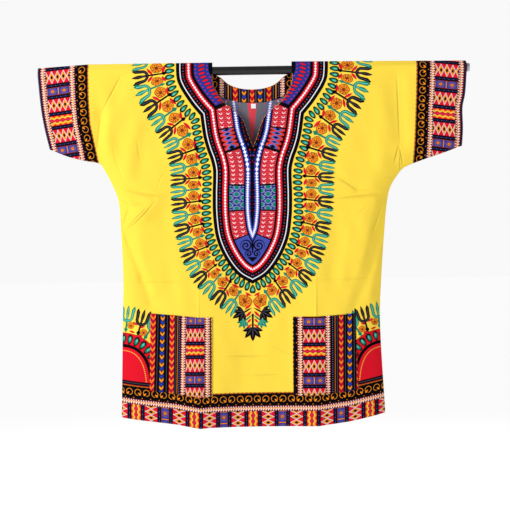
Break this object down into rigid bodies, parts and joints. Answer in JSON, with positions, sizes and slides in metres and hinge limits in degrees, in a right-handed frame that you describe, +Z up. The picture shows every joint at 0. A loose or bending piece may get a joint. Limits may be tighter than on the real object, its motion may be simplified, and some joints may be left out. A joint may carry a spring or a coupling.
{
  "type": "dashiki shirt on a hanging rod",
  "caption": "Short-sleeved printed cotton tunic with a slit neck and patch pockets, hung flat over a round rod through its sleeves.",
  "frame": {"origin": "on the rod's axis, at the middle of the neck", "axes": "+X along the rod, to the right as seen from the front; -Y is the front of the shirt; +Z up"},
  "size_m": [0.8931, 0.0521, 0.7546],
  "materials": {
    "printed_cotton": "matte printed cotton",
    "pocket_cotton": "matte printed cotton with stripes",
    "facing_cotton": "matte printed cotton with stripes",
    "label_tape": "white woven tape, bare",
    "rod_paint": "satin black"
  },
  "bodies": {
    "root": {"front": "printed_cotton", "back": "printed_cotton", "pocket_left": "pocket_cotton", "pocket_right": "pocket_cotton", "front_neck_facing": "facing_cotton", "back_neck_facing": "facing_cotton", "label": "label_tape", "rod": "rod_paint"}
  },
  "joints": []
}
